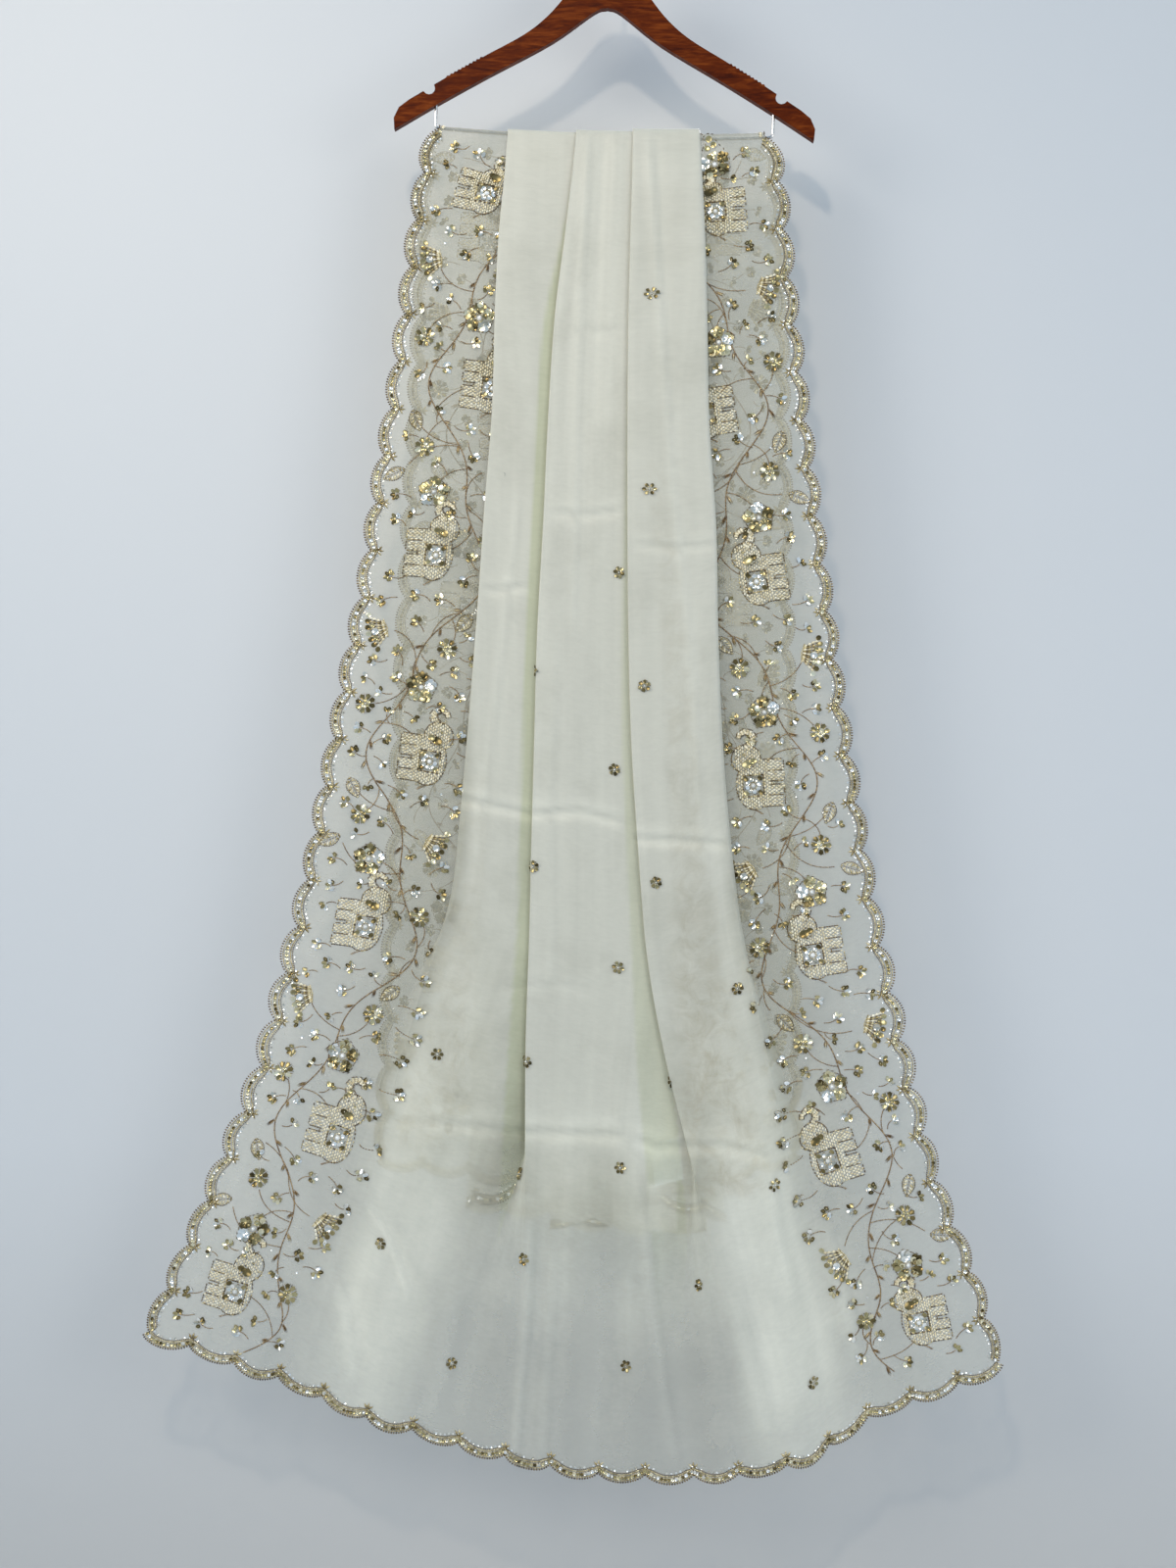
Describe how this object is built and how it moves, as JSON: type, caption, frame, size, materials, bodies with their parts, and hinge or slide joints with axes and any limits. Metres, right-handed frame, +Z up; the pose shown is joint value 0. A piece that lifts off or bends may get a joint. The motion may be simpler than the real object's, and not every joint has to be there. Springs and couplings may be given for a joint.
{
  "type": "dupatta stole on a clothes hanger",
  "caption": "Long sheer shawl with scalloped gold edging, pleated lengthwise and folded over the trouser bar of a wooden clothes hanger.",
  "frame": {"origin": "inside top of the hanger's hook, where a rail carries it", "axes": "+Z up, +X to the right as seen from the front, +Y towards the back; the long front fall is on the -Y side"},
  "size_m": [0.8863, 0.0794, 1.6394],
  "materials": {
    "sheer_cloth": "sheer crinkled ivory organza",
    "gold_edging": "gold metallic thread and sequins",
    "label": "plain white woven tape",
    "wood": "glossy red-brown varnish",
    "wire": "bright plated wire"
  },
  "bodies": {
    "root": {"front_fall": "sheer_cloth", "top_fold": "sheer_cloth", "back_fall": "sheer_cloth", "edging_front_left": "gold_edging", "edging_front_right": "gold_edging", "edging_front_hem": "gold_edging", "edging_back_left": "gold_edging", "edging_back_right": "gold_edging", "edging_back_hem": "gold_edging", "care_label": "label", "hanger_body": "wood", "hanger_hook": "wire", "trouser_bar": "wire"}
  },
  "joints": []
}
